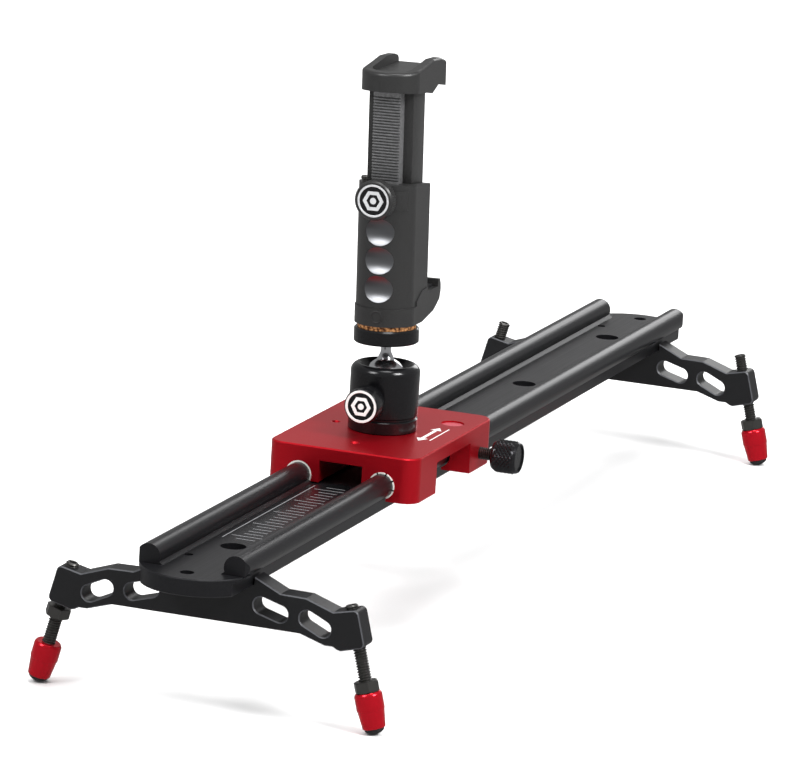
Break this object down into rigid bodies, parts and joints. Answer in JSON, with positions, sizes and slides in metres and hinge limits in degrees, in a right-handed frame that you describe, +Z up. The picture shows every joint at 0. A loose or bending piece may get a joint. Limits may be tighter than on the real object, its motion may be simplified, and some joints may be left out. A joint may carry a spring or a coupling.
{
  "type": "camera slider",
  "caption": "Track slider on screw feet with a braked carriage, a ball head and a sliding-jaw phone holder.",
  "frame": {"origin": "under the middle of the track, level with the tips of the two feet at the -X end", "axes": "+X along the track, +Y across it, +Z up"},
  "size_m": [0.636, 0.1678, 0.2564],
  "materials": {
    "black_anodised": "satin black anodised extrusion",
    "black_bracket": "matte black anodised, machined",
    "red_anodised": "satin red anodised",
    "black_steel": "black oxide steel",
    "gloss_black": "gloss black anodised",
    "rubber": "black rubber",
    "liner": "white bearing polymer",
    "white_plastic": "white moulded disc",
    "chrome": "polished",
    "cork": "rubberised cork",
    "holder_plastic": "dark grey moulded ABS",
    "brass": "turned brass",
    "white_paint": "white printed ring",
    "black_disc": "black domed disc"
  },
  "bodies": {
    "track": {"track": "black_anodised", "near_leg_bracket": "black_bracket", "far_leg_bracket": "black_bracket", "bracket_screws": "black_steel", "near_left_lock_nut": "black_steel"},
    "carriage": {"carriage": "red_anodised", "front_left_liner": "liner", "front_right_liner": "liner", "rear_left_liner": "liner", "rear_right_liner": "liner", "top_insert": "white_plastic", "head_base": "gloss_black", "head_screw": "black_steel", "head_housing": "gloss_black", "ball_seat": "liner"},
    "brake_pad": {"brake_pad": "brass"},
    "brake_knob": {"brake_screw": "black_steel", "brake_knob": "gloss_black"},
    "lock_plug": {"lock_plug": "brass"},
    "lock_knob": {"lock_screw": "black_steel", "lock_knob": "gloss_black", "lock_knob_face": "black_disc", "lock_knob_ring": "white_paint"},
    "ball": {"ball": "chrome"},
    "top_plate": {"ball_stem": "chrome", "top_plate": "gloss_black", "cork_pad": "cork", "top_stud": "black_steel"},
    "holder": {"holder_body": "holder_plastic", "finger_dimples": "chrome", "thread_insert": "brass", "lower_jaw_pad": "rubber", "guide_peg": "black_steel"},
    "upper_jaw": {"clamp_column": "holder_plastic", "upper_jaw": "holder_plastic", "upper_jaw_pad": "rubber"},
    "clamp_plug": {"clamp_plug": "brass"},
    "clamp_knob": {"clamp_screw": "black_steel", "clamp_knob": "holder_plastic", "clamp_knob_face": "black_disc", "clamp_knob_ring": "white_paint"},
    "near_left_foot": {"near_left_foot_tip": "rubber"},
    "near_left_foot_screw": {"near_left_foot_cap": "red_anodised", "near_left_foot_rod": "black_steel"},
    "near_right_foot": {"near_right_foot_tip": "rubber"},
    "near_right_foot_screw": {"near_right_foot_cap": "red_anodised", "near_right_foot_rod": "black_steel", "near_right_lock_nut": "black_steel"},
    "far_left_foot": {"far_left_foot_tip": "rubber"},
    "far_left_foot_screw": {"far_left_foot_cap": "red_anodised", "far_left_foot_rod": "black_steel", "far_left_lock_nut": "black_steel"},
    "far_right_foot": {"far_right_foot_tip": "rubber"},
    "far_right_foot_screw": {"far_right_foot_cap": "red_anodised", "far_right_foot_rod": "black_steel", "far_right_lock_nut": "black_steel"}
  },
  "joints": [
    {"name": "carriage_slide", "type": "slide", "parent": "track", "child": "carriage", "axis": [1, 0, 0], "range_m": [-0.172, 0.3]},
    {"name": "brake_travel", "type": "slide", "parent": "carriage", "child": "brake_pad", "axis": [0, -1, 0], "range_m": [-0.0001, 0.005]},
    {"name": "brake_turn", "type": "hinge", "parent": "brake_pad", "child": "brake_knob", "pos_m": [-0.038, -0.05, 0.0707], "axis": [0, -1, 0], "range_deg": [-41, 1805]},
    {"name": "lock_travel", "type": "slide", "parent": "carriage", "child": "lock_plug", "axis": [-1, 0, 0], "range_m": [-0.0001, 0.001]},
    {"name": "lock_turn", "type": "hinge", "parent": "lock_plug", "child": "lock_knob", "pos_m": [-0.09, 0, 0.1006], "axis": [-1, 0, 0], "range_deg": [-41, 365]},
    {"name": "ball_tilt", "type": "hinge", "parent": "carriage", "child": "ball", "pos_m": [-0.073, 0, 0.108], "axis": [0, 1, 0], "range_deg": [-30, 30]},
    {"name": "ball_lean", "type": "hinge", "parent": "ball", "child": "top_plate", "pos_m": [-0.073, 0, 0.108], "axis": [1, 0, 0], "range_deg": [-30, 30]},
    {"name": "holder_turn", "type": "hinge", "parent": "top_plate", "child": "holder", "pos_m": [-0.073, 0.00084, 0.13479], "axis": [0, 0.0314, 0.9995], "range_deg": [-180, 180]},
    {"name": "jaw_slide", "type": "slide", "parent": "holder", "child": "upper_jaw", "axis": [0, 0.0314, 0.9995], "range_m": [-0.036, 0.004]},
    {"name": "clamp_travel", "type": "slide", "parent": "holder", "child": "clamp_plug", "axis": [-1, 0, 0], "range_m": [-0.0001, 0.003]},
    {"name": "clamp_turn", "type": "hinge", "parent": "clamp_plug", "child": "clamp_knob", "pos_m": [-0.091, 0.00274, 0.19506], "axis": [-1, 0, 0], "range_deg": [-41, 1085]},
    {"name": "near_left_foot_lift", "type": "slide", "parent": "track", "child": "near_left_foot", "axis": [0, -0.2504, 0.9681], "range_m": [-0.01, 0.012]},
    {"name": "near_left_foot_turn", "type": "hinge", "parent": "near_left_foot", "child": "near_left_foot_screw", "pos_m": [-0.278, 0.0783, 0.006], "axis": [0, -0.2504, 0.9681], "range_deg": [-3605, 4325]},
    {"name": "near_right_foot_lift", "type": "slide", "parent": "track", "child": "near_right_foot", "axis": [0, 0.2504, 0.9681], "range_m": [-0.01, 0.012]},
    {"name": "near_right_foot_turn", "type": "hinge", "parent": "near_right_foot", "child": "near_right_foot_screw", "pos_m": [-0.278, -0.0783, 0.006], "axis": [0, 0.2504, 0.9681], "range_deg": [-3605, 4325]},
    {"name": "far_left_foot_lift", "type": "slide", "parent": "track", "child": "far_left_foot", "axis": [0, -0.2504, 0.9681], "range_m": [-0.016, 0.007]},
    {"name": "far_left_foot_turn", "type": "hinge", "parent": "far_left_foot", "child": "far_left_foot_screw", "pos_m": [0.278, 0.0767, 0.0122], "axis": [0, -0.2504, 0.9681], "range_deg": [-5765, 2525]},
    {"name": "far_right_foot_lift", "type": "slide", "parent": "track", "child": "far_right_foot", "axis": [0, 0.2504, 0.9681], "range_m": [-0.016, 0.007]},
    {"name": "far_right_foot_turn", "type": "hinge", "parent": "far_right_foot", "child": "far_right_foot_screw", "pos_m": [0.278, -0.0767, 0.0122], "axis": [0, 0.2504, 0.9681], "range_deg": [-5765, 2525]}
  ],
  "couplings": [
    {"joint": "brake_turn", "follows": "brake_travel", "rad_per_m": 6283.2},
    {"joint": "lock_turn", "follows": "lock_travel", "rad_per_m": 6283.2},
    {"joint": "clamp_turn", "follows": "clamp_travel", "rad_per_m": 6283.2},
    {"joint": "near_left_foot_turn", "follows": "near_left_foot_lift", "rad_per_m": 6283.2},
    {"joint": "near_right_foot_turn", "follows": "near_right_foot_lift", "rad_per_m": 6283.2},
    {"joint": "far_left_foot_turn", "follows": "far_left_foot_lift", "rad_per_m": 6283.2},
    {"joint": "far_right_foot_turn", "follows": "far_right_foot_lift", "rad_per_m": 6283.2}
  ]
}
